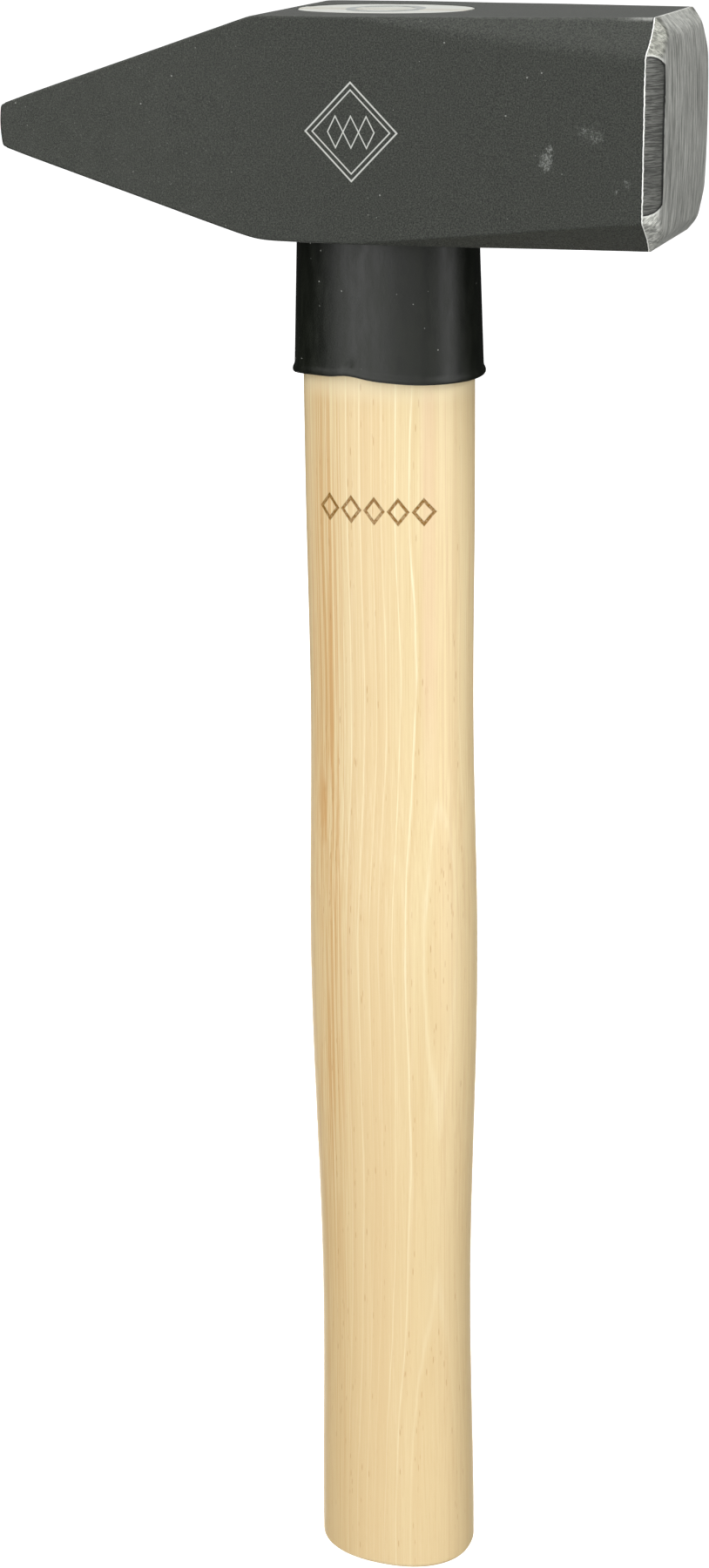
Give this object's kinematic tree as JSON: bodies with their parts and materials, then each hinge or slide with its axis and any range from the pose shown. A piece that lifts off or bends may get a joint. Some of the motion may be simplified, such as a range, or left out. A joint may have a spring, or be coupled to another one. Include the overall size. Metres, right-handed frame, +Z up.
{
  "type": "cross-peen hammer",
  "caption": "Cross-peen engineer's hammer: square forged head with a beveled striking face, oval hickory handle wedged in its eye, black plastic sleeve below the head.",
  "frame": {"origin": "centre of the flat butt of the handle, on the handle's axis", "axes": "+Z up the handle to the head, +X from the handle towards the striking face (the peen points to -X), -Y the front cheek"},
  "size_m": [0.1554, 0.049, 0.398],
  "materials": {
    "forged_steel": "fine-grained dark coating, satin, with the striking face ground bright",
    "hickory": "smooth, clear lacquered",
    "sleeve_plastic": "smooth, satin",
    "wedge_wood": "sawn end, lacquered with the tenon",
    "ring_steel": "dull, driven flush"
  },
  "bodies": {
    "root": {"head": "forged_steel", "handle": "hickory", "sleeve": "sleeve_plastic", "wood_wedge": "wedge_wood", "ring_wedge": "ring_steel"}
  },
  "joints": []
}
